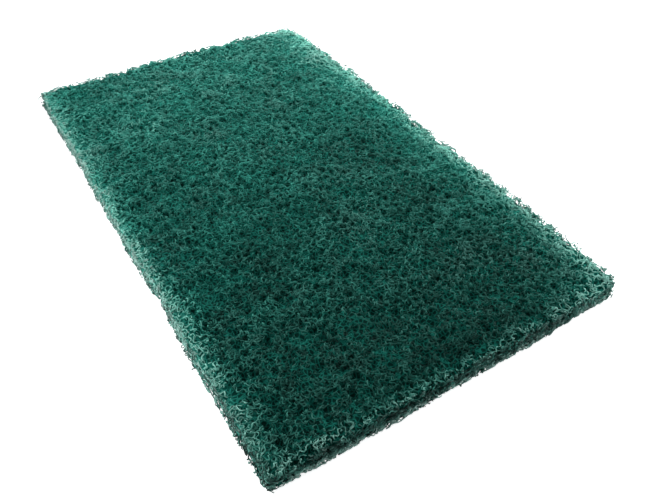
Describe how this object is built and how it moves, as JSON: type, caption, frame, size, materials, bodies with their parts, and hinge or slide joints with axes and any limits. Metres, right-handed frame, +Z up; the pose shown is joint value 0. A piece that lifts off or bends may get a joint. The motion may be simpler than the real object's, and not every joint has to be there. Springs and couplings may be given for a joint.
{
  "type": "scouring pad",
  "caption": "Flat rectangular scouring pad of dark green non-woven abrasive web, with a pitted surface and frayed cut edges.",
  "frame": {"origin": "on the surface the pad lies on, under the middle of its footprint", "axes": "+Y along the long side, +X along the short side, +Z up through the thickness; the short front wall faces -Y"},
  "size_m": [0.1492, 0.2496, 0.009],
  "materials": {
    "web": "matte"
  },
  "bodies": {
    "root": {"scouring_pad": "web"}
  },
  "joints": []
}
